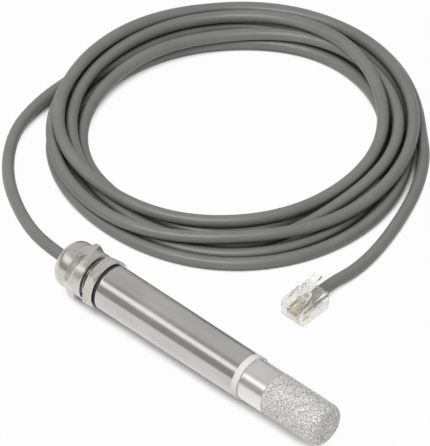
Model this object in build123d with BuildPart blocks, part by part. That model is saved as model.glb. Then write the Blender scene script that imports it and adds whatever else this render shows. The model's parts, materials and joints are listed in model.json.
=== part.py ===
# Temperature and humidity probe: a steel tube with a sintered filter tip, a cable gland at its rear,
# and a coiled lead that ends in a clear six-way modular plug.
# Millimetres. +X runs along the tube to the tip, +Z is up, the origin is under the probe's middle.
import os
from math import cos, pi, radians, tan

from build123d import *

os.makedirs("parts", exist_ok=True)

# Fits
fit_clearance = 0.05

# Probe tube and the tapped bush pressed into its rear end
tube_diameter = 16.0
tube_wall = 1.0
tube_length = 60.8
tube_end_round = 0.6
bush_length = 9.0

# Cable gland: hexagon, threads and the gap where the nut's thread shows
hex_across_flats = 17.0
hex_clocking = 18.0
hex_chamfer_angle = 30.0
hex_face_margin = 0.15
body_hex_length = 3.6
entry_thread_diameter = 12.0
entry_thread_length = 8.0
nut_thread_diameter = 13.6
nut_thread_engagement = 6.0
nut_thread_pitch = 1.0
nut_thread_depth = 0.55
nut_gap = 2.0
cable_bore = 5.4

# Dome nut
nut_collar_diameter = 17.0
nut_collar_length = 3.4
nut_hex_length = 3.0
dome_diameter = 16.6
dome_length = 6.6
dome_round = 4.0
dome_mouth_diameter = 5.4
dome_cone_length = 1.7
nut_edge_chamfer = 0.3

# Clamping cage and rubber seal inside the gland
cage_diameter = 10.0
cage_wall = 0.8
cage_seat_depth = 4.0
cage_reach = 3.4
cage_slot_count = 8
cage_slot_width = 0.7
cage_slot_length = 3.0
seal_set_back = 0.5

# Flat sealing ring between the gland's hexagon and the tube
gasket_thickness = 0.9
gasket_diameter = 15.4
gasket_round = 0.3

# Plastic sensor carrier, seen as a white ring between the tube and the filter sleeve
ring_width = 2.4
ring_edge_chamfer = 0.2
carrier_rear_spigot = 8.0
carrier_front_spigot = 5.0
carrier_groove_set_back = 2.6
carrier_groove_width = 1.9
carrier_o_ring_section = 1.6

# Filter sleeve and sintered filter
sleeve_diameter = 15.0
sleeve_wall = 0.9
sleeve_length = 10.3
sleeve_edge_chamfer = 0.25
filter_length = 23.0
filter_end_round = 2.6
filter_wall = 2.2
filter_end_wall = 2.8
filter_spigot = 4.5

# Sensor board and what is soldered to it
board_width = 8.0
board_thickness = 1.0
board_rear_reach = 26.0
board_front_reach = 14.0
sensor_side = 2.5
sensor_height = 0.9
sensor_window = 1.0
sensor_window_depth = 0.3
sensor_edge_margin = 1.2
isolation_slot_width = 0.8
isolation_slot_length = 4.5
controller_length = 6.4
controller_width = 4.4
controller_height = 1.0
controller_set_back = 12.0
capacitor_length = 1.6
capacitor_width = 0.8
capacitor_height = 0.8
capacitor_pitch = 2.0
capacitor_count = 4
capacitor_gap = 2.0

# Lead: round jacket over six insulated cores
cable_diameter = 4.2
core_diameter = 0.9
core_ring_radius = 1.15
core_ring_turn = 15.0
jacket_end_reach = 12.0
core_straight = 5.0
core_overlap = 3.0
core_colours = ["blue", "yellow", "green", "red", "black", "white"]

# Coil of the lead, a loose ring of turns lying on the table
coil_centre = (-63.0, 85.0)
coil_outer_radius = 64.4
coil_inner_radius = 40.0
coil_height = 12.6
coil_top_round = 4.0

# Modular plug, lying on its contact face with its nose towards -Y
plug_centre_x = 9.0
plug_nose_y = 36.0
plug_width = 9.65
plug_length = 12.6
plug_height = 6.6
plug_nose_chamfer = 0.8
plug_edge_round = 0.35
jacket_opening_width = 7.2
jacket_opening_height = 4.5
jacket_opening_round = 1.6
jacket_opening_depth = 6.2
jacket_opening_centre_z = 3.1
jacket_flat_width = 6.3
jacket_flat_height = 2.7
core_channel_width = 6.4
core_channel_height = 1.2
core_channel_centre_z = 2.7
core_channel_end = 0.9
contact_pitch = 1.02
contact_thickness = 0.35
contact_length = 3.4
contact_recess = 0.4
contact_set_back = 0.9
contact_slot_width = 0.5
anchor_recess_length = 2.4
anchor_recess_width = 6.4
anchor_recess_depth = 0.45
anchor_recess_set_back = 3.6
latch_width = 6.0
latch_tail_width = 3.3
latch_wide_length = 6.2
latch_root_rise = 1.3
latch_root_length = 2.4
latch_thickness = 1.0
latch_tip_y = 12.4
latch_tip_rise = 6.0

# Stations along the probe, from the mouth of the dome nut to the tip of the filter
nut_length = dome_length + nut_hex_length + nut_collar_length
rear_length = nut_length + nut_gap + body_hex_length + gasket_thickness
front_length = ring_width + sleeve_length + filter_length
probe_length = rear_length + tube_length + front_length
nut_rear_x = -probe_length / 2
nut_hex_rear_x = nut_rear_x + dome_length
nut_hex_front_x = nut_hex_rear_x + nut_hex_length
nut_front_x = nut_rear_x + nut_length
hex_rear_x = nut_front_x + nut_gap
hex_front_x = hex_rear_x + body_hex_length
tube_rear_x = hex_front_x + gasket_thickness
tube_front_x = tube_rear_x + tube_length
ring_front_x = tube_front_x + ring_width
sleeve_front_x = ring_front_x + sleeve_length
tip_x = sleeve_front_x + filter_length
body_rear_x = nut_front_x - nut_thread_engagement

# The probe lies on one corner of each hexagon, so those corners set the height of its axis
hex_corner_radius = hex_across_flats / 2 / cos(radians(30))
axis_height = hex_corner_radius * cos(radians(hex_clocking))
probe_axis = Axis((0, 0, axis_height), (1, 0, 0))
profile_plane = Plane(origin=(0, 0, axis_height), x_dir=(1, 0, 0), z_dir=(0, -1, 0))

# Radii that several pieces share
tube_radius = tube_diameter / 2
tube_inner_radius = tube_radius - tube_wall
sleeve_radius = sleeve_diameter / 2
sleeve_inner_radius = sleeve_radius - sleeve_wall
filter_cavity_radius = sleeve_radius - filter_wall
cage_radius = cage_diameter / 2
cable_radius = cable_diameter / 2
core_radius = core_diameter / 2
board_rear_x = tube_front_x - board_rear_reach
board_front_x = sleeve_front_x + board_front_reach
board_top_z = axis_height + board_thickness / 2
jacket_end_x = tube_rear_x + jacket_end_reach


def across(x):
    """The plane square to the probe's axis at x, with +Y to its right and +Z up."""
    return Plane(origin=(x, 0, axis_height), x_dir=(0, 1, 0), z_dir=(1, 0, 0))


def finish(part, name):
    """Labels a finished piece and writes its file."""
    part.label = name
    export_step(part, f"parts/{name}.step")


def hex_turning(rear_x, front_x):
    """Half profile, out from the axis, that chamfers the corners of a hexagon from rear_x to front_x."""
    face_radius = hex_across_flats / 2 - hex_face_margin
    outer_radius = hex_corner_radius + fit_clearance
    slope = (outer_radius - face_radius) * tan(radians(hex_chamfer_angle))
    return [
        (rear_x, 0),
        (rear_x, face_radius),
        (rear_x + slope, outer_radius),
        (front_x - slope, outer_radius),
        (front_x, face_radius),
        (front_x, 0),
    ]


# Probe tube: plain drawn tube, its rear edge rolled over
with BuildPart() as probe_tube:
    with BuildSketch(across(tube_rear_x)):
        Circle(tube_radius)
        Circle(tube_inner_radius, mode=Mode.SUBTRACT)
    extrude(amount=tube_length)
    rear_edges = probe_tube.edges().filter_by(GeomType.CIRCLE).group_by(Axis.X)[0]
    fillet(rear_edges.sort_by(SortBy.RADIUS)[-1], tube_end_round)
finish(probe_tube.part, "probe_tube")

# Rear bush: closes the tube and takes the gland's entry thread
with BuildPart() as rear_bush:
    with BuildSketch(across(tube_rear_x)):
        Circle(tube_inner_radius - fit_clearance)
        Circle(entry_thread_diameter / 2 + fit_clearance, mode=Mode.SUBTRACT)
    extrude(amount=bush_length)
finish(rear_bush.part, "rear_bush")

# Gland body: chamfered hexagon between the entry thread and the grooved thread for the dome nut
with BuildPart() as gland_body:
    with BuildSketch(across(hex_rear_x)):
        RegularPolygon(hex_across_flats / 2, 6, major_radius=False, rotation=30 - hex_clocking)
    extrude(amount=body_hex_length)
    with BuildSketch(profile_plane):
        with BuildLine():
            Polyline(*hex_turning(hex_rear_x, hex_front_x), close=True)
        make_face()
    revolve(axis=probe_axis, mode=Mode.INTERSECT)
    with BuildSketch(across(hex_front_x)):
        Circle(entry_thread_diameter / 2)
    extrude(amount=entry_thread_length)
    with BuildSketch(across(body_rear_x)):
        Circle(nut_thread_diameter / 2)
    extrude(amount=hex_rear_x - body_rear_x)
    groove_count = int((hex_rear_x - body_rear_x) / nut_thread_pitch)
    with BuildSketch(profile_plane):
        for groove in range(groove_count):
            groove_x = hex_rear_x - groove * nut_thread_pitch
            with BuildLine():
                Polyline(
                    (groove_x, nut_thread_diameter / 2 + fit_clearance),
                    (groove_x - nut_thread_pitch / 2, nut_thread_diameter / 2 - nut_thread_depth),
                    (groove_x - nut_thread_pitch, nut_thread_diameter / 2 + fit_clearance),
                    close=True,
                )
            make_face()
    revolve(axis=probe_axis, mode=Mode.SUBTRACT)
    with BuildSketch(across(body_rear_x)):
        Circle(cage_radius + fit_clearance)
    extrude(amount=cage_seat_depth, mode=Mode.SUBTRACT)
    with BuildSketch(across(body_rear_x)):
        Circle(cable_bore / 2)
    extrude(amount=hex_front_x + entry_thread_length - body_rear_x, mode=Mode.SUBTRACT)
finish(gland_body.part, "gland_body")

# Dome nut: front collar, chamfered hexagon and a rounded dome with the cable mouth
with BuildPart() as gland_dome_nut:
    with BuildSketch(across(nut_hex_rear_x)):
        RegularPolygon(hex_across_flats / 2, 6, major_radius=False, rotation=30 + hex_clocking)
    extrude(amount=nut_hex_length)
    with BuildSketch(profile_plane):
        with BuildLine():
            Polyline(*hex_turning(nut_hex_rear_x, nut_hex_front_x), close=True)
        make_face()
    revolve(axis=probe_axis, mode=Mode.INTERSECT)
    with BuildSketch(across(nut_hex_front_x)):
        Circle(nut_collar_diameter / 2 - hex_face_margin)
    extrude(amount=nut_collar_length)
    collar_edge = gland_dome_nut.edges().filter_by(GeomType.CIRCLE).group_by(Axis.X)[-1]
    chamfer(collar_edge, nut_edge_chamfer)
    with BuildSketch(across(nut_rear_x)):
        Circle(dome_diameter / 2)
    extrude(amount=dome_length)
    dome_edge = gland_dome_nut.edges().filter_by(GeomType.CIRCLE).group_by(Axis.X)[0]
    fillet(dome_edge, dome_round)
    thread_end_x = body_rear_x - seal_set_back
    cage_end_x = body_rear_x - cage_reach - fit_clearance
    with BuildSketch(profile_plane):
        with BuildLine():
            Polyline(
                (nut_front_x, 0),
                (nut_front_x, nut_thread_diameter / 2 + fit_clearance),
                (thread_end_x, nut_thread_diameter / 2 + fit_clearance),
                (thread_end_x, cage_radius + fit_clearance),
                (cage_end_x, cage_radius + fit_clearance),
                (cage_end_x - dome_cone_length, dome_mouth_diameter / 2),
                (nut_rear_x, dome_mouth_diameter / 2),
                (nut_rear_x, 0),
                close=True,
            )
        make_face()
    revolve(axis=probe_axis, mode=Mode.SUBTRACT)
finish(gland_dome_nut.part, "gland_dome_nut")

# Clamping cage: slotted plastic ring that the dome nut closes onto the seal
with BuildPart() as gland_clamp_cage:
    cage_rear_x = body_rear_x - cage_reach
    with BuildSketch(across(cage_rear_x)):
        Circle(cage_radius)
        Circle(cage_radius - cage_wall, mode=Mode.SUBTRACT)
    extrude(amount=cage_reach + cage_seat_depth)
    with BuildSketch(across(cage_rear_x)):
        with PolarLocations(cage_radius - cage_wall / 2, cage_slot_count):
            Rectangle(2 * cage_wall, cage_slot_width)
    extrude(amount=cage_slot_length, mode=Mode.SUBTRACT)
finish(gland_clamp_cage.part, "gland_clamp_cage")

# Rubber seal: thick sleeve between the cage and the cable
with BuildPart() as gland_seal:
    seal_rear_x = cage_rear_x + seal_set_back
    with BuildSketch(across(seal_rear_x)):
        Circle(cage_radius - cage_wall - fit_clearance)
        Circle(cable_radius + fit_clearance, mode=Mode.SUBTRACT)
    extrude(amount=body_rear_x + cage_seat_depth - seal_rear_x)
finish(gland_seal.part, "gland_seal")

# Sealing ring squeezed between the hexagon and the rear end of the tube
with BuildPart() as gland_gasket:
    gasket_inner_radius = entry_thread_diameter / 2 + fit_clearance
    gasket_width = gasket_diameter / 2 - gasket_inner_radius
    with BuildSketch(profile_plane):
        with Locations((hex_front_x + gasket_thickness / 2, gasket_inner_radius + gasket_width / 2)):
            RectangleRounded(gasket_thickness, gasket_width, gasket_round)
    revolve(axis=probe_axis)
finish(gland_gasket.part, "gland_gasket")

# Sensor carrier: white flange, a spigot in the tube and a spigot in the sleeve, slotted for the board
with BuildPart() as sensor_carrier:
    with BuildSketch(across(tube_front_x)):
        Circle(tube_radius)
    extrude(amount=ring_width)
    ring_edge = sensor_carrier.edges().filter_by(GeomType.CIRCLE).group_by(Axis.X)[-1]
    chamfer(ring_edge, ring_edge_chamfer)
    with BuildSketch(across(tube_front_x - carrier_rear_spigot)):
        Circle(tube_inner_radius - fit_clearance)
    extrude(amount=carrier_rear_spigot)
    with BuildSketch(across(ring_front_x)):
        Circle(sleeve_inner_radius - fit_clearance)
    extrude(amount=carrier_front_spigot)
    groove_front_x = tube_front_x - carrier_groove_set_back
    groove_floor_radius = tube_inner_radius - carrier_o_ring_section - 2 * fit_clearance
    with BuildSketch(across(groove_front_x - carrier_groove_width)):
        Circle(tube_inner_radius)
        Circle(groove_floor_radius, mode=Mode.SUBTRACT)
    extrude(amount=carrier_groove_width, mode=Mode.SUBTRACT)
    with BuildSketch(across(tube_front_x - carrier_rear_spigot)):
        Rectangle(board_width + 2 * fit_clearance, board_thickness + 2 * fit_clearance)
    carrier_length = carrier_rear_spigot + ring_width + carrier_front_spigot
    extrude(amount=carrier_length, mode=Mode.SUBTRACT)
finish(sensor_carrier.part, "sensor_carrier")

# O-ring in the carrier's groove, against the tube's wall
with BuildPart() as carrier_o_ring:
    o_ring_centre_radius = groove_floor_radius + fit_clearance + carrier_o_ring_section / 2
    with BuildSketch(profile_plane):
        with Locations((groove_front_x - carrier_groove_width / 2, o_ring_centre_radius)):
            Circle(carrier_o_ring_section / 2)
    revolve(axis=probe_axis)
finish(carrier_o_ring.part, "carrier_o_ring")

# Filter sleeve: steel ring that slides over the carrier and holds the filter
with BuildPart() as filter_sleeve:
    with BuildSketch(across(ring_front_x)):
        Circle(sleeve_radius)
        Circle(sleeve_inner_radius, mode=Mode.SUBTRACT)
    extrude(amount=sleeve_length)
    sleeve_edges = filter_sleeve.edges().filter_by(GeomType.CIRCLE).group_by(SortBy.RADIUS)[-1]
    chamfer(sleeve_edges, sleeve_edge_chamfer)
finish(filter_sleeve.part, "filter_sleeve")

# Sintered filter: round-ended porous cup, its open end pressed into the sleeve
with BuildPart() as sintered_filter:
    with BuildSketch(across(sleeve_front_x)):
        Circle(sleeve_radius)
    extrude(amount=filter_length)
    tip_edge = sintered_filter.edges().filter_by(GeomType.CIRCLE).group_by(Axis.X)[-1]
    fillet(tip_edge, filter_end_round)
    with BuildSketch(across(sleeve_front_x - filter_spigot)):
        Circle(sleeve_inner_radius - fit_clearance)
    extrude(amount=filter_spigot)
    with BuildSketch(across(sleeve_front_x - filter_spigot)):
        Circle(filter_cavity_radius)
    extrude(amount=filter_spigot + filter_length - filter_end_wall, mode=Mode.SUBTRACT)
finish(sintered_filter.part, "sintered_filter")

# Sensor board, with two slots that keep the tube's heat from the sensor
with BuildPart() as sensor_board:
    with BuildSketch(Plane.XY.offset(axis_height - board_thickness / 2)):
        with Locations(((board_rear_x + board_front_x) / 2, 0)):
            Rectangle(board_front_x - board_rear_x, board_width)
        sensor_x = board_front_x - sensor_edge_margin - sensor_side / 2
        slot_offset = sensor_side / 2 + isolation_slot_width
        with Locations((sensor_x, slot_offset), (sensor_x, -slot_offset)):
            Rectangle(isolation_slot_length, isolation_slot_width, mode=Mode.SUBTRACT)
    extrude(amount=board_thickness)
finish(sensor_board.part, "sensor_board")

# Humidity and temperature sensor, with the window in its lid
with BuildPart() as humidity_sensor:
    with BuildSketch(Plane.XY.offset(board_top_z)):
        with Locations((sensor_x, 0)):
            Rectangle(sensor_side, sensor_side)
    extrude(amount=sensor_height)
    with BuildSketch(Plane.XY.offset(board_top_z + sensor_height)):
        with Locations((sensor_x, 0)):
            Circle(sensor_window / 2)
    extrude(amount=-sensor_window_depth, mode=Mode.SUBTRACT)
finish(humidity_sensor.part, "humidity_sensor")

# Controller chip on the part of the board inside the tube
controller_x = tube_front_x - controller_set_back - controller_length / 2
with BuildPart() as controller_chip:
    with BuildSketch(Plane.XY.offset(board_top_z)):
        with Locations((controller_x, 0)):
            Rectangle(controller_length, controller_width)
    extrude(amount=controller_height)
finish(controller_chip.part, "controller_chip")

# Chip capacitors in a row across the board, behind the controller
with BuildPart() as board_capacitors:
    capacitor_x = controller_x - controller_length / 2 - capacitor_gap
    with BuildSketch(Plane.XY.offset(board_top_z)):
        with Locations((capacitor_x, 0)):
            with GridLocations(capacitor_pitch, capacitor_pitch, 1, capacitor_count):
                Rectangle(capacitor_length, capacitor_width)
    extrude(amount=capacitor_height)
finish(board_capacitors.part, "board_capacitors")

# Straight end of the lead's jacket, from the mouth of the dome nut into the tube
with BuildPart() as cable_gland_end:
    with BuildSketch(across(nut_rear_x)):
        Circle(cable_radius)
    extrude(amount=jacket_end_x - nut_rear_x)
finish(cable_gland_end.part, "cable_gland_end")

# Six cores from the jacket's end to a row of joints on the board, in the order of their places across it
core_ring = [
    Vector(core_ring_radius, 0).rotate(Axis.Z, core_ring_turn + 60 * spoke) for spoke in range(6)
]
core_ring.sort(key=lambda place: place.X)
board_pitch = board_width / len(core_colours)
for colour, place, row in zip(core_colours, core_ring, range(len(core_colours))):
    row_y = (row - (len(core_colours) - 1) / 2) * board_pitch
    row_z = board_top_z + core_radius + fit_clearance
    with BuildPart() as board_core:
        with BuildLine():
            FilletPolyline(
                (jacket_end_x, place.X, axis_height + place.Y),
                (jacket_end_x + core_straight, place.X, axis_height + place.Y),
                (board_rear_x - core_straight, row_y, row_z),
                (board_rear_x + core_overlap, row_y, row_z),
                radius=core_straight,
            )
        with BuildSketch(across(jacket_end_x)):
            with Locations((place.X, place.Y)):
                Circle(core_radius)
        sweep()
    finish(board_core.part, f"board_core_{colour}")

# Coil: outer shape of the loose turns
with BuildPart() as cable_coil:
    with BuildSketch(Plane.XY):
        with Locations(coil_centre):
            Circle(coil_outer_radius)
            Circle(coil_inner_radius, mode=Mode.SUBTRACT)
    extrude(amount=coil_height)
    fillet(cable_coil.edges().group_by(Axis.Z)[-1], coil_top_round)
finish(cable_coil.part, "cable_coil")

# Height of the lead's centre where it lies on the table
lying_z = cable_radius + fit_clearance
plug_rear_y = plug_nose_y + plug_length

# Route of the lead from the gland's mouth, down to the table and into the coil
gland_route = [
    (nut_rear_x, 0, axis_height),
    (nut_rear_x - 11, 0, axis_height),
    (-86, 7, 5.8),
    (-105, 19.5, 2.5),
    (-117.5, 36, lying_z),
    (-122.5, 54, lying_z),
    (-121.5, 71, lying_z),
]

# Route of the lead out of the coil and round to the rear of the plug
plug_route = [
    (-27, 135, lying_z),
    (-12.5, 122, lying_z),
    (-2, 106, lying_z),
    (5, 90, lying_z),
    (8.6, 75, lying_z),
    (9.4, 64, lying_z),
    (plug_centre_x, 56, jacket_opening_centre_z),
    (plug_centre_x, plug_rear_y, jacket_opening_centre_z),
]


def bend_radii(route):
    """The largest radius at each corner of a route that leaves a tenth of each run straight."""
    corners = [Vector(point) for point in route]
    radii = []
    for before, corner, after in zip(corners, corners[1:], corners[2:]):
        arriving = corner - before
        leaving = after - corner
        half_turn = radians(arriving.get_angle(leaving)) / 2
        radii.append(0.45 * min(arriving.length, leaving.length) / tan(half_turn))
    return radii


for route, tail_name in ((gland_route, "cable_gland_tail"), (plug_route, "cable_plug_tail")):
    radii = bend_radii(route)
    with BuildPart() as cable_tail:
        with BuildLine() as tail_line:
            FilletPolyline(*route, radius=radii)
        with BuildSketch(Plane(origin=route[0], z_dir=Vector(route[1]) - Vector(route[0]))):
            Circle(cable_radius)
        sweep()
        swept_share = cable_tail.part.volume / (pi * cable_radius**2 * tail_line.wire().length)
        add(cable_coil.part, mode=Mode.SUBTRACT)
    finish(cable_tail.part, tail_name)
    print(tail_name, "bend radii", [round(radius) for radius in radii], "volume share", round(swept_share, 4))

# Plug housing: clear moulding with its latch, jacket opening, core channel and contact slots
plug_side = Plane(origin=(plug_centre_x, plug_nose_y, 0), x_dir=(0, 1, 0), z_dir=(1, 0, 0))
plug_back = Plane(origin=(plug_centre_x, plug_rear_y, 0), x_dir=(-1, 0, 0), z_dir=(0, 1, 0))
plug_floor = Plane(origin=(plug_centre_x, plug_nose_y, 0), x_dir=(1, 0, 0), z_dir=(0, 0, 1))
with BuildPart() as plug_housing:
    with BuildSketch(plug_side):
        with BuildLine():
            Polyline(
                (plug_nose_chamfer / 2, 0),
                (plug_length, 0),
                (plug_length, plug_height),
                (plug_nose_chamfer, plug_height),
                (0, plug_height - plug_nose_chamfer),
                (0, plug_nose_chamfer / 2),
                close=True,
            )
        make_face()
    extrude(amount=plug_width / 2, both=True)
    fillet(plug_housing.edges().filter_by(Axis.Y).group_by(Axis.Z)[-1], plug_edge_round)
    latch_top_z = plug_height + latch_root_rise
    latch_tip_z = plug_height + latch_tip_rise
    with BuildSketch(plug_side):
        with BuildLine():
            Polyline(
                (plug_nose_chamfer, plug_height - latch_thickness),
                (plug_nose_chamfer, plug_height),
                (latch_root_length, latch_top_z),
                (latch_tip_y, latch_tip_z),
                (latch_tip_y + latch_thickness / 2, latch_tip_z - latch_thickness),
                (latch_root_length + latch_thickness, plug_height),
                (latch_root_length + latch_thickness, plug_height - latch_thickness),
                close=True,
            )
        make_face()
    extrude(amount=latch_width / 2, both=True)
    tail_trim = (latch_width - latch_tail_width) / 2
    tail_length = latch_tip_y + latch_thickness - latch_wide_length
    with BuildSketch(plug_floor.offset(plug_height)):
        with Locations((0, latch_wide_length + tail_length / 2)):
            with GridLocations(latch_width - tail_trim, 1, 2, 1):
                Rectangle(tail_trim, tail_length)
    extrude(amount=latch_tip_rise + latch_thickness, mode=Mode.SUBTRACT)
    with BuildSketch(plug_back):
        with Locations((0, jacket_opening_centre_z)):
            RectangleRounded(jacket_opening_width, jacket_opening_height, jacket_opening_round)
    extrude(amount=-jacket_opening_depth, mode=Mode.SUBTRACT)
    with BuildSketch(plug_back):
        with Locations((0, core_channel_centre_z)):
            Rectangle(core_channel_width, core_channel_height)
    extrude(amount=core_channel_end - plug_length, mode=Mode.SUBTRACT)
    with BuildSketch(plug_floor):
        with Locations((0, contact_set_back + contact_length / 2)):
            with GridLocations(contact_pitch, 1, len(core_colours), 1):
                Rectangle(contact_slot_width, contact_length + 2 * fit_clearance)
    extrude(amount=core_channel_centre_z, mode=Mode.SUBTRACT)
    with BuildSketch(plug_floor):
        with Locations((0, plug_length - anchor_recess_set_back)):
            Rectangle(anchor_recess_width, anchor_recess_length)
    extrude(amount=anchor_recess_depth, mode=Mode.SUBTRACT)
finish(plug_housing.part, "plug_housing")

# Six contact blades standing in the slots, under the cores
with BuildPart() as plug_contacts:
    with BuildSketch(plug_floor.offset(contact_recess)):
        with Locations((0, contact_set_back + contact_length / 2)):
            with GridLocations(contact_pitch, 1, len(core_colours), 1):
                Rectangle(contact_thickness, contact_length)
    extrude(amount=core_channel_centre_z - core_radius - fit_clearance - contact_recess)
finish(plug_contacts.part, "plug_contacts")

# Jacket inside the plug, round at the rear and pressed flat where the cores leave it
jacket_front_y = plug_length - jacket_opening_depth + fit_clearance
with BuildPart() as cable_plug_end:
    with BuildSketch(plug_back):
        with Locations((0, jacket_opening_centre_z)):
            Circle(cable_radius)
    with BuildSketch(plug_back.offset(jacket_front_y - plug_length)):
        with Locations((0, core_channel_centre_z)):
            SlotOverall(jacket_flat_width, jacket_flat_height)
    loft()
finish(cable_plug_end.part, "cable_plug_end")

# Six cores side by side in the channel, blue to white across the plug
for row, colour in enumerate(core_colours):
    core_x = (row - (len(core_colours) - 1) / 2) * contact_pitch
    with BuildPart() as plug_core:
        with BuildSketch(plug_back.offset(jacket_front_y - plug_length)):
            with Locations((-core_x, core_channel_centre_z)):
                Circle(core_radius)
        extrude(amount=core_channel_end + fit_clearance - jacket_front_y)
    finish(plug_core.part, f"plug_core_{colour}")
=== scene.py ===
import json
from math import cos, pi, radians, sin

import bpy
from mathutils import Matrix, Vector


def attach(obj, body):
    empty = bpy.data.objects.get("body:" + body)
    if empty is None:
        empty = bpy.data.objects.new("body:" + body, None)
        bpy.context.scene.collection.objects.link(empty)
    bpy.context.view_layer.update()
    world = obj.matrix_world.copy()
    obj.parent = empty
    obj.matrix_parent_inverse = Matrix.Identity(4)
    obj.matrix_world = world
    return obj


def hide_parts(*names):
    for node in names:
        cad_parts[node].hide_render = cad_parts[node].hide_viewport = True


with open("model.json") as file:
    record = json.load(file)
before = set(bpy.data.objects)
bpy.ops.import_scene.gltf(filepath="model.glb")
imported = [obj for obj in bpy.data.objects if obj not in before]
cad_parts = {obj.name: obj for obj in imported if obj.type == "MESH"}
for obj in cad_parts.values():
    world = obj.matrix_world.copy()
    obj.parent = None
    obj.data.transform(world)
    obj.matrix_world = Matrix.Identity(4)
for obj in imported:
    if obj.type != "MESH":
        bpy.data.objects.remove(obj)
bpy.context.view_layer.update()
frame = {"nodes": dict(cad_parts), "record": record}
nodes = frame["nodes"]
scene = bpy.context.scene
scene.view_settings.view_transform = "Standard"
MM = 0.001


# Camera: a nearly parallel view from 44 degrees up and 43 degrees round from the probe's side.
ROUND_ANGLE = radians(42.8)
UP_ANGLE = radians(44)
VIEW_CENTRE = Vector((-0.04045, 0.0524, 0))
VIEW_DISTANCE = 6.51


def add_camera():
    data = bpy.data.cameras.new("camera")
    data.sensor_fit = "VERTICAL"
    data.sensor_height = 36
    data.lens = 1600
    data.clip_end = 30
    camera = bpy.data.objects.new("camera", data)
    scene.collection.objects.link(camera)
    level = cos(UP_ANGLE)
    towards = Vector((sin(ROUND_ANGLE) * level, -cos(ROUND_ANGLE) * level, sin(UP_ANGLE)))
    camera.location = VIEW_CENTRE + VIEW_DISTANCE * towards
    camera.rotation_euler = towards.to_track_quat("Z", "Y").to_euler()
    scene.camera = camera


# Lead: one spline from the gland, through six and a half loose turns, to the plug. Lengths are in mm.
CABLE_DIAMETER = 4.2
GLAND_ROUTE = (
    (-58, 0, 9.33),
    (-69, 0, 9.33),
    (-86, 7.5, 5.8),
    (-104.8, 20.5, 2.5),
    (-117.2, 37.1, 2.15),
    (-120.8, 54.1, 2.15),
    (-120.2, 70.1, 2.15),
)
PLUG_ROUTE = (
    (-9.2, 120.3, 2.15),
    (-0.7, 107.3, 2.15),
    (5.7, 90.2, 2.15),
    (9.3, 75, 2.15),
    (9.8, 64, 2.15),
    (9, 56, 3.1),
    (9, 48.6, 3.1),
)
# The turns run clockwise. Each row is a turn, with values for each eighth of it: how far the cable's middle
# is from the coil's centre, and how high it lies.
COIL_CENTRE = (-61.3, 83.6)
START_ANGLE = 179.5
STATION_ANGLE = 45
POINTS_PER_STATION = 3
COIL_RADII = (
    (57.2, 58.6, 60.3, 58.0, 59.2, 58.4, 57.7, 59.9),
    (53.2, 54.7, 55.4, 54.2, 53.9, 54.0, 53.6, 54.8),
    (48.3, 46.4, 50.8, 50.1, 40.8, 44.0, 45.2, 50.0),
    (46.4, 45.6, 53.4, 54.8, 48.2, 49.6, 49.4, 53.2),
    (54.2, 54.0, 52.8, 49.5, 43.6, 42.4, 47.8, 57.4),
    (57.4, 58.5, 62.0, 59.6, 54.3, 50.2, 56.8, 59.7),
    (58.6, 63.4, 65.0, 61.7),
)
COIL_HEIGHTS = (
    (2.1, 2.1, 2.1, 2.1, 2.1, 2.1, 2.1, 2.1),
    (2.1, 2.1, 2.1, 2.1, 2.1, 2.1, 2.1, 2.1),
    (2.1, 2.1, 2.1, 2.1, 2.1, 2.1, 2.1, 3.0),
    (6.3, 6.3, 6.3, 6.3, 5.6, 2.1, 2.1, 6.7),
    (6.6, 7.2, 10.5, 6.8, 6.3, 6.3, 6.6, 9.1),
    (9.6, 6.5, 5.9, 6.3, 6.3, 6.6, 6.3, 6.2),
    (5.8, 2.1, 2.1, 2.1),
)


def at_point(rows, k):
    """Value at the coil's point k, eased between the stations before and after it."""
    values = [value for row in rows for value in row]
    last = len(values) - 1
    i, part = divmod(k, POINTS_PER_STATION)
    a, b, c, d = [values[min(max(i + j, 0), last)] for j in (-1, 0, 1, 2)]
    t = part / POINTS_PER_STATION
    return b + 0.5 * t * (c - a + t * (2 * a - 5 * b + 4 * c - d + t * (3 * b - a - 3 * c + d)))


def coil_points():
    step = STATION_ANGLE / POINTS_PER_STATION
    # The spline passes inside its points, so they stand a little further out.
    spread = 1 / (0.75 + 0.25 * cos(radians(step)))
    count = (sum(len(row) for row in COIL_RADII) - 1) * POINTS_PER_STATION + 1
    points = []
    for k in range(count):
        radius = spread * at_point(COIL_RADII, k)
        height = max(at_point(COIL_HEIGHTS, k), CABLE_DIAMETER / 2)
        angle = radians(START_ANGLE - step * k)
        x = COIL_CENTRE[0] + radius * cos(angle)
        y = COIL_CENTRE[1] + radius * sin(angle)
        points.append((x, y, height))
    return points


def add_lead():
    route = [*GLAND_ROUTE, *coil_points(), *PLUG_ROUTE]
    data = bpy.data.curves.new("lead", "CURVE")
    data.dimensions = "3D"
    spline = data.splines.new("NURBS")
    spline.points.add(len(route) - 1)
    for point, place in zip(spline.points, route):
        point.co = (place[0] * MM, place[1] * MM, place[2] * MM, 1)
        point.radius = CABLE_DIAMETER / 2 * MM
    spline.order_u = 3
    spline.use_endpoint_u = True
    data.resolution_u = 6
    # The points carry the cable's radius, so the bevel's own depth is 1.
    data.bevel_depth = 1
    data.bevel_resolution = 4
    data.use_fill_caps = True
    lead = bpy.data.objects.new("lead", data)
    scene.collection.objects.link(lead)
    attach(lead, "root")
    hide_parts("cable_gland_tail", "cable_coil", "cable_plug_tail")
    on_plug = ["cable_plug_end", "plug_housing", "plug_contacts"]
    on_plug += [name for name in nodes if name.startswith("plug_core_")]
    return lead


# Node helpers, for materials and the world. An underscore in an input's name stands for a space.
def feed(tree, socket, value):
    if isinstance(value, bpy.types.NodeSocket):
        tree.links.new(value, socket)
    else:
        socket.default_value = value


def add_node(tree, kind, **inputs):
    made = tree.nodes.new(kind)
    for name, value in inputs.items():
        feed(tree, made.inputs[name.replace("_", " ")], value)
    return made


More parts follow.
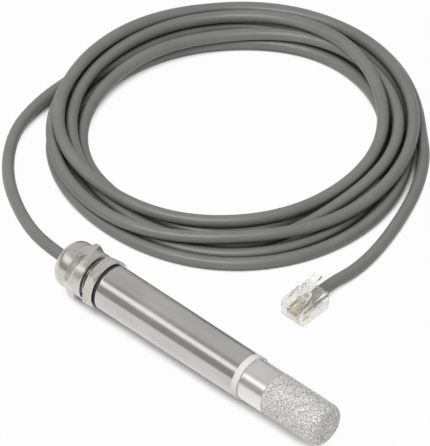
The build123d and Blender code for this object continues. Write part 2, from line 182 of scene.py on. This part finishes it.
def combine(tree, operation, first, second):
    made = add_node(tree, "ShaderNodeMath")
    made.operation = operation
    feed(tree, made.inputs[0], first)
    feed(tree, made.inputs[1], second)
    return made.outputs["Value"]


def mix_shaders(tree, share, first, second):
    made = add_node(tree, "ShaderNodeMixShader", Fac=share)
    feed(tree, made.inputs[1], first)
    feed(tree, made.inputs[2], second)
    return made.outputs["Shader"]


def seen_by(tree, *kinds_of_ray):
    """One for the camera's rays and the kinds of ray named, zero for the rest."""
    light_path = add_node(tree, "ShaderNodeLightPath")
    total = light_path.outputs["Is Camera Ray"]
    for kind in kinds_of_ray:
        total = combine(tree, "MAXIMUM", total, light_path.outputs[kind])
    return total


# A material with its main shader, and the patterns that feed it.
class Shader:
    def __init__(self, name, **values):
        self.material = bpy.data.materials.new(name)
        self.material.use_nodes = True
        self.tree = self.material.node_tree
        self.main = self.tree.nodes["Principled BSDF"]
        for socket, value in values.items():
            self.set(socket.replace("_", " "), value)

    def set(self, socket, source):
        feed(self.tree, self.main.inputs[socket], source)

    def node(self, kind, **inputs):
        return add_node(self.tree, kind, **inputs)

    def place(self, stretch=(1, 1, 1)):
        coordinates = self.node("ShaderNodeTexCoord").outputs["Object"]
        return self.node("ShaderNodeMapping", Vector=coordinates, Scale=stretch).outputs["Vector"]

    def noise(self, scale, detail, stretch=(1, 1, 1)):
        made = self.node("ShaderNodeTexNoise", Vector=self.place(stretch), Scale=scale, Detail=detail)
        return made.outputs["Fac"]

    def cells(self, scale, output):
        return self.node("ShaderNodeTexVoronoi", Vector=self.place(), Scale=scale).outputs[output]

    def openness(self, distance):
        return self.node("ShaderNodeAmbientOcclusion", Distance=distance).outputs["AO"]

    def edges(self, radius):
        rounded = self.node("ShaderNodeBevel", Radius=radius).outputs["Normal"]
        plain = self.node("ShaderNodeNewGeometry").outputs["Normal"]
        gap = self.node("ShaderNodeVectorMath")
        gap.operation = "DISTANCE"
        feed(self.tree, gap.inputs[0], rounded)
        feed(self.tree, gap.inputs[1], plain)
        return gap.outputs["Value"]

    def ramp(self, source, *stops):
        made = self.node("ShaderNodeValToRGB", Fac=source)
        elements = made.color_ramp.elements
        while len(elements) < len(stops):
            elements.new(0.5)
        for element, (position, colour) in zip(elements, stops):
            element.position = position
            element.color = (*colour, 1) if isinstance(colour, tuple) else (colour, colour, colour, 1)
        return made.outputs["Color"]

    def multiply(self, first, second):
        made = self.node("ShaderNodeMix", Factor=1.0)
        made.data_type = "RGBA"
        made.blend_type = "MULTIPLY"
        # The node has A, B and Result once for each data type. These are the ones for colours.
        colour_a, colour_b, colour_result = made.inputs[6], made.inputs[7], made.outputs[2]
        feed(self.tree, colour_a, first)
        feed(self.tree, colour_b, second)
        return colour_result

    def bump(self, height, strength, distance):
        made = self.node("ShaderNodeBump", Height=height, Strength=strength, Distance=distance)
        self.set("Normal", made.outputs["Normal"])


def shade(colour, factor):
    return tuple(channel * factor for channel in colour)


# Ground stainless steel: faint rings round the axis, hazy patches along it.
def ground_steel(name, steel, roughness):
    s = Shader(name, Metallic=1.0)
    rings = s.noise(scale=900, detail=4, stretch=(3, 0.05, 0.05))
    haze = s.noise(scale=120, detail=4, stretch=(0.35, 1, 1))
    tint = s.ramp(rings, (0.25, shade(steel, 0.97)), (0.75, shade(steel, 1.03)))
    s.set("Base Color", s.multiply(tint, s.ramp(haze, (0.35, 0.89), (0.65, 1.02))))
    s.set("Roughness", s.ramp(haze, (0.3, roughness - 0.04), (0.7, roughness + 0.04)))
    s.bump(rings, strength=0.03, distance=0.00002)
    return s.material


# Nickel plate: satin, a little warm, uneven, with painted shade in the thread and corners, brighter along
# its edges.
def nickel_brass():
    s = Shader("nickel_brass", Metallic=1.0)
    nickel = (0.66, 0.63, 0.59)
    mottle = s.noise(scale=260, detail=4)
    plate = s.ramp(mottle, (0.36, shade(nickel, 0.88)), (0.64, shade(nickel, 1.11)))
    # Painted shade: the plate is darkened where the thread and corners close it in.
    corners = s.openness(distance=0.0016)
    painted_shade_plate = s.multiply(plate, s.ramp(corners, (0.35, 0.16), (0.75, 1.0)))
    # The plate is made brighter along its edges.
    brighter_edges = s.ramp(s.edges(radius=0.0003), (0.02, 1.0), (0.1, 1.4))
    s.set("Base Color", s.multiply(painted_shade_plate, brighter_edges))
    s.set("Roughness", s.ramp(mottle, (0.36, 0.25), (0.64, 0.37)))
    s.bump(s.noise(scale=1500, detail=2), strength=0.06, distance=0.00004)
    return s.material


# Sintered steel: fine bright and dark grains with open pores.
def sintered_steel():
    s = Shader("sintered_steel", Metallic=0.5)
    grain_scale = 3300
    pore_scale = 1900
    dark = (0.34, 0.335, 0.325)
    middle = (0.66, 0.65, 0.635)
    bright = (0.94, 0.93, 0.91)
    value = s.node("ShaderNodeRGBToBW", Color=s.cells(grain_scale, "Color")).outputs["Val"]
    grains = s.ramp(value, (0.15, dark), (0.45, middle), (0.8, bright))
    pores = s.ramp(s.cells(pore_scale, "Distance"), (0.12, 0.4), (0.26, 1.0))
    s.set("Base Color", s.multiply(grains, pores))
    s.set("Roughness", s.ramp(value, (0.2, 0.7), (0.8, 0.42)))
    domes = s.ramp(s.cells(grain_scale, "Distance"), (0.0, 1.0), (0.65, 0.0))
    s.bump(domes, strength=0.8, distance=0.0002)
    return s.material


# White plastic, with faint rings from turning.
def white_plastic():
    s = Shader("white_plastic", Roughness=0.38)
    rings = s.noise(scale=1400, detail=2, stretch=(2, 0.05, 0.05))
    s.set("Base Color", s.ramp(rings, (0.3, (0.69, 0.69, 0.675)), (0.7, (0.75, 0.75, 0.735))))
    s.bump(rings, strength=0.08, distance=0.00003)
    return s.material


# Grey jacket: fine speckle, soft sheen, and painted shade where strands lie close.
def cable_jacket():
    s = Shader("cable_jacket", Specular_IOR_Level=0.42)
    speckle = s.noise(scale=1800, detail=3)
    patches = s.noise(scale=70, detail=2)
    jacket = s.ramp(patches, (0.3, (0.178, 0.177, 0.174)), (0.7, (0.206, 0.205, 0.201)))
    # Painted shade: the jacket is darkened where strands lie close together.
    painted_gap_shade = s.openness(distance=0.004)
    s.set("Base Color", s.multiply(jacket, s.ramp(painted_gap_shade, (0.25, 0.35), (0.7, 1.0))))
    s.set("Roughness", s.ramp(speckle, (0.3, 0.28), (0.7, 0.42)))
    s.bump(speckle, strength=0.12, distance=0.00005)
    return s.material


# Matt black rubber.
def seal_rubber():
    s = Shader("seal_rubber")
    grain = s.noise(scale=2500, detail=2)
    s.set("Base Color", s.ramp(grain, (0.3, 0.028), (0.7, 0.046)))
    s.set("Roughness", s.ramp(grain, (0.3, 0.6), (0.7, 0.8)))
    s.bump(grain, strength=0.15, distance=0.00005)
    return s.material


# Clear moulded plastic, a little milky and faintly warm.
def clear_plastic():
    s = Shader("clear_plastic", Transmission_Weight=0.87, IOR=1.18, Coat_Weight=0.6, Coat_Roughness=0.08)
    flow = s.noise(scale=240, detail=2)
    s.set("Base Color", s.ramp(flow, (0.3, (0.92, 0.915, 0.88)), (0.7, (0.95, 0.945, 0.92))))
    s.set("Roughness", s.ramp(flow, (0.3, 0.04), (0.7, 0.12)))
    s.bump(flow, strength=0.05, distance=0.0001)
    return s.material


# Gold flash on the contact blades.
def gold_contact():
    s = Shader("gold_contact", Metallic=1.0)
    stain = s.noise(scale=900, detail=2)
    s.set("Base Color", s.ramp(stain, (0.3, (0.76, 0.55, 0.20)), (0.7, (0.86, 0.66, 0.28))))
    s.set("Roughness", s.ramp(stain, (0.3, 0.18), (0.7, 0.30)))
    return s.material


# Moulded plastics, ceramic, laminate and core insulation share one fine grain.
def moulded(name, colour, roughness):
    s = Shader(name)
    grain = s.noise(scale=1600, detail=2)
    s.set("Base Color", s.ramp(grain, (0.3, shade(colour, 0.93)), (0.7, shade(colour, 1.05))))
    s.set("Roughness", s.ramp(grain, (0.3, roughness - 0.05), (0.7, roughness + 0.06)))
    s.bump(grain, strength=0.08, distance=0.00003)
    return s.material


# Colour and roughness of the slots with that grain.
MOULDED = {
    "cage_plastic": ((0.72, 0.72, 0.70), 0.45),
    "board_laminate": ((0.05, 0.22, 0.10), 0.3),
    "chip_black": ((0.03, 0.03, 0.03), 0.5),
    "capacitor_ceramic": ((0.45, 0.33, 0.22), 0.5),
    "core_blue": ((0.03, 0.06, 0.22), 0.3),
    "core_yellow": ((0.85, 0.50, 0.06), 0.3),
    "core_green": ((0.12, 0.35, 0.06), 0.3),
    "core_red": ((0.50, 0.05, 0.03), 0.3),
    "core_black": ((0.03, 0.03, 0.03), 0.3),
    "core_white": ((0.85, 0.83, 0.80), 0.3),
}


# Every node takes its slot's material, except the filter sleeve, a copy of the tube's steel, a little
# rougher, with painted light making it brighter.
def dress_nodes(lead):
    materials = {
        "tube_steel": ground_steel("tube_steel", steel=(0.63, 0.61, 0.58), roughness=0.19),
        "nickel_brass": nickel_brass(),
        "sintered_steel": sintered_steel(),
        "white_plastic": white_plastic(),
        "cable_jacket": cable_jacket(),
        "seal_rubber": seal_rubber(),
        "clear_plastic": clear_plastic(),
        "gold_contact": gold_contact(),
    }
    for slot, (colour, roughness) in MOULDED.items():
        materials[slot] = moulded(slot, colour, roughness)
    for part in frame["record"]["subparts"]:
        mesh = nodes[part["node"]].data
        mesh.materials.clear()
        mesh.materials.append(materials[part["material_slot"]])
    # Painted light: the sleeve's steel is the tube's steel made brighter to stand in for the light on it.
    painted_bright_sleeve_steel = ground_steel("painted_bright_sleeve_steel", steel=(0.87, 0.86, 0.83), roughness=0.26)
    nodes["filter_sleeve"].data.materials[0] = painted_bright_sleeve_steel
    lead.data.materials.append(materials["cable_jacket"])


# Floor: white to the camera, in metal and through clear plastic, with a soft shadow under the object.
# Lengths here and in the lights are in metres.
WHITE = (1, 1, 1, 1)
FLOOR_HALF = 3
FLOOR_DROP = 0.0002
FLOOR_GREY = (0.6, 0.6, 0.6, 1)
SHADOW_REACH = 0.01
GLOW_SHARE = 0.96


def add_floor():
    mesh = bpy.data.meshes.new("floor")
    corners = [(x * FLOOR_HALF, y * FLOOR_HALF, 0) for x, y in ((-1, -1), (1, -1), (1, 1), (-1, 1))]
    mesh.from_pydata(corners, [], [(0, 1, 2, 3)])
    floor = bpy.data.objects.new("floor", mesh)
    floor.location.z = -FLOOR_DROP
    scene.collection.objects.link(floor)
    s = Shader("floor", Base_Color=FLOOR_GREY, Roughness=0.9)
    unshaded = s.ramp(s.openness(SHADOW_REACH), (0.2, 0.05), (0.42, 1.0))
    through = s.node("ShaderNodeLightPath").outputs["Is Transmission Ray"]
    brightness = combine(s.tree, "MAXIMUM", unshaded, through)
    glow = s.node("ShaderNodeEmission", Color=WHITE, Strength=brightness).outputs["Emission"]
    rays = seen_by(s.tree, "Is Glossy Ray", "Is Transmission Ray")
    share = combine(s.tree, "MULTIPLY", rays, GLOW_SHARE)
    surface = mix_shaders(s.tree, share, s.main.outputs["BSDF"], glow)
    feed(s.tree, s.tree.nodes["Material Output"].inputs["Surface"], surface)
    mesh.materials.append(s.material)


# World: white to the camera and through clear plastic, and a dim even light for the rest.
FILL_LIGHT = 0.38


def add_world():
    world = bpy.data.worlds.new("studio")
    scene.world = world
    world.use_nodes = True
    tree = world.node_tree
    fill = tree.nodes["Background"]
    feed(tree, fill.inputs["Color"], WHITE)
    feed(tree, fill.inputs["Strength"], FILL_LIGHT)
    white = add_node(tree, "ShaderNodeBackground", Color=WHITE, Strength=1.0)
    share = seen_by(tree, "Is Transmission Ray")
    surface = mix_shaders(tree, share, fill.outputs["Background"], white.outputs["Background"])
    feed(tree, tree.nodes["World Output"].inputs["Surface"], surface)


# Softboxes: a long narrow one in front, a wide dim one behind and a small bright one above.
SET_MIDDLE = Vector((-0.02, 0.04, 0))
SOFTBOX_DISTANCE = 1.4


def add_softbox(name, direction, width, height, radiance):
    data = bpy.data.lights.new(name, "AREA")
    data.shape = "RECTANGLE"
    data.size = width
    data.size_y = height
    data.energy = radiance * pi * width * height
    lamp = bpy.data.objects.new(name, data)
    scene.collection.objects.link(lamp)
    away = Vector(direction).normalized()
    lamp.location = SET_MIDDLE + SOFTBOX_DISTANCE * away
    lamp.rotation_euler = away.to_track_quat("Z", "Y").to_euler()


add_camera()
lead = add_lead()
dress_nodes(lead)
add_floor()
add_world()
add_softbox("front_softbox", (-0.493, -0.588, 0.641), width=1.8, height=0.38, radiance=1.0)
add_softbox("back_softbox", (-0.493, 0.536, 0.686), width=2.4, height=2.0, radiance=0.25)
add_softbox("top_softbox", (0.12, -0.45, 0.88), width=0.8, height=0.8, radiance=6.6)

bpy.context.view_layer.update()
